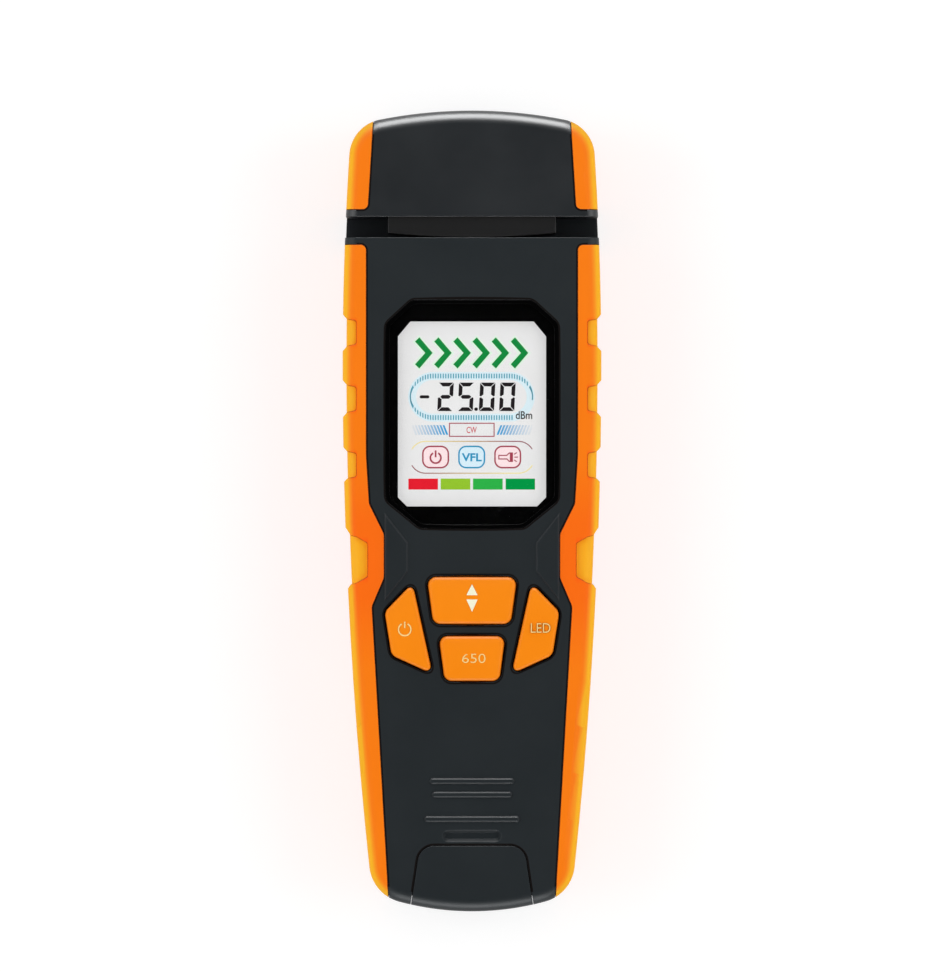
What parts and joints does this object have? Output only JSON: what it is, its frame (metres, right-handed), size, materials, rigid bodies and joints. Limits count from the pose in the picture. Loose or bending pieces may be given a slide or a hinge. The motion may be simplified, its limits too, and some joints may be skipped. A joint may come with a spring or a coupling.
{
  "type": "fibre optic identifier",
  "caption": "Handheld fibre optic identifier with a spring clamp across a fibre slot, display, keys, rubber grips, port flap and battery door.",
  "frame": {"origin": "on the surface it rests on, under the middle of its outline", "axes": "+Z out of the front face, +Y towards the head with the slot, +X to the right seen from the front"},
  "size_m": [0.0614, 0.19, 0.035],
  "materials": {
    "case_plastic": "fine satin texture",
    "grip_rubber": "smooth satin rubber",
    "key_plastic": "soft satin",
    "window_plastic": "polished black window",
    "display_glass": "lit display",
    "frame_plastic": "plain moulded",
    "board": "solder resist",
    "chip_plastic": "moulded",
    "sensor_plastic": "plain moulded",
    "port_metal": "turned",
    "clear_plastic": "clear moulded",
    "steel": "zinc plated",
    "contact_metal": "nickel plated",
    "jaw_plastic": "satin",
    "pad_rubber": "soft pad",
    "cell_jacket": "plain printed jacket"
  },
  "bodies": {
    "housing": {"rear_shell": "case_plastic", "front_shell": "case_plastic", "head_cover": "case_plastic", "body_grip_left": "grip_rubber", "body_grip_right": "grip_rubber", "head_grip_left": "grip_rubber", "head_grip_right": "grip_rubber", "display_lens": "window_plastic", "sensor_block": "sensor_plastic", "port_plate": "sensor_plastic", "laser_port": "port_metal", "display_frame": "frame_plastic", "main_board": "board", "processor_chip": "chip_plastic", "display_connector": "chip_plastic", "buzzer": "chip_plastic", "board_screws": "steel", "power_switch": "chip_plastic", "lamp_switch": "chip_plastic", "laser_switch": "chip_plastic", "scroll_up_switch": "chip_plastic", "scroll_down_switch": "chip_plastic", "photodiode_left": "port_metal", "photodiode_right": "port_metal", "sensor_board": "board", "laser_module": "port_metal", "lamp_led": "clear_plastic", "battery_cell_1": "cell_jacket", "battery_cell_2": "cell_jacket", "battery_cell_3": "cell_jacket", "battery_contacts_low": "contact_metal", "battery_contacts_high": "contact_metal", "case_screws": "steel", "flap_hinge_pin": "steel", "lamp_lens": "clear_plastic", "lamp_bezel": "sensor_plastic", "display_glass": "display_glass", "jaw_spring_left": "steel", "jaw_spring_right": "steel"},
    "clamp": {"jaw": "jaw_plastic", "jaw_pad": "pad_rubber", "jaw_carrier": "frame_plastic", "carrier_screws": "steel", "thumb_slider": "key_plastic", "slider_screw": "steel"},
    "power_button": {"power_key": "key_plastic", "power_plunger": "frame_plastic"},
    "lamp_button": {"lamp_key": "key_plastic", "lamp_plunger": "frame_plastic"},
    "laser_button": {"laser_key": "key_plastic", "laser_plunger": "frame_plastic"},
    "scroll_rocker": {"scroll_key": "key_plastic", "scroll_up_plunger": "frame_plastic", "scroll_down_plunger": "frame_plastic"},
    "flap": {"port_flap": "case_plastic"},
    "back_door": {"battery_door": "case_plastic"}
  },
  "joints": [
    {"name": "clamp_slide", "type": "slide", "parent": "housing", "child": "clamp", "axis": [0, 1, 0], "range_m": [0, 0.005], "stiffness_N_per_m": 600, "springref_m": -0.003, "deforming": ["jaw_spring_left", "jaw_spring_right"]},
    {"name": "power_press", "type": "slide", "parent": "housing", "child": "power_button", "axis": [0, 0, -1], "range_m": [0, 0.0008], "stiffness_N_per_m": 800, "springref_m": -0.0005},
    {"name": "lamp_press", "type": "slide", "parent": "housing", "child": "lamp_button", "axis": [0, 0, -1], "range_m": [0, 0.0008], "stiffness_N_per_m": 800, "springref_m": -0.0005},
    {"name": "laser_press", "type": "slide", "parent": "housing", "child": "laser_button", "axis": [0, 0, -1], "range_m": [0, 0.0008], "stiffness_N_per_m": 800, "springref_m": -0.0005},
    {"name": "scroll_rock", "type": "hinge", "parent": "housing", "child": "scroll_rocker", "pos_m": [0, -0.0212, 0.0295], "axis": [1, 0, 0], "range_deg": [-4, 4], "stiffness_Nm_per_rad": 0.05},
    {"name": "port_flap_hinge", "type": "hinge", "parent": "housing", "child": "flap", "pos_m": [0, -0.0902, 0.005], "axis": [1, 0, 0], "range_deg": [0, 90]},
    {"name": "battery_door_hinge", "type": "hinge", "parent": "housing", "child": "back_door", "pos_m": [0, -0.0785, 0.001], "axis": [-1, 0, 0], "range_deg": [0, 70]}
  ]
}
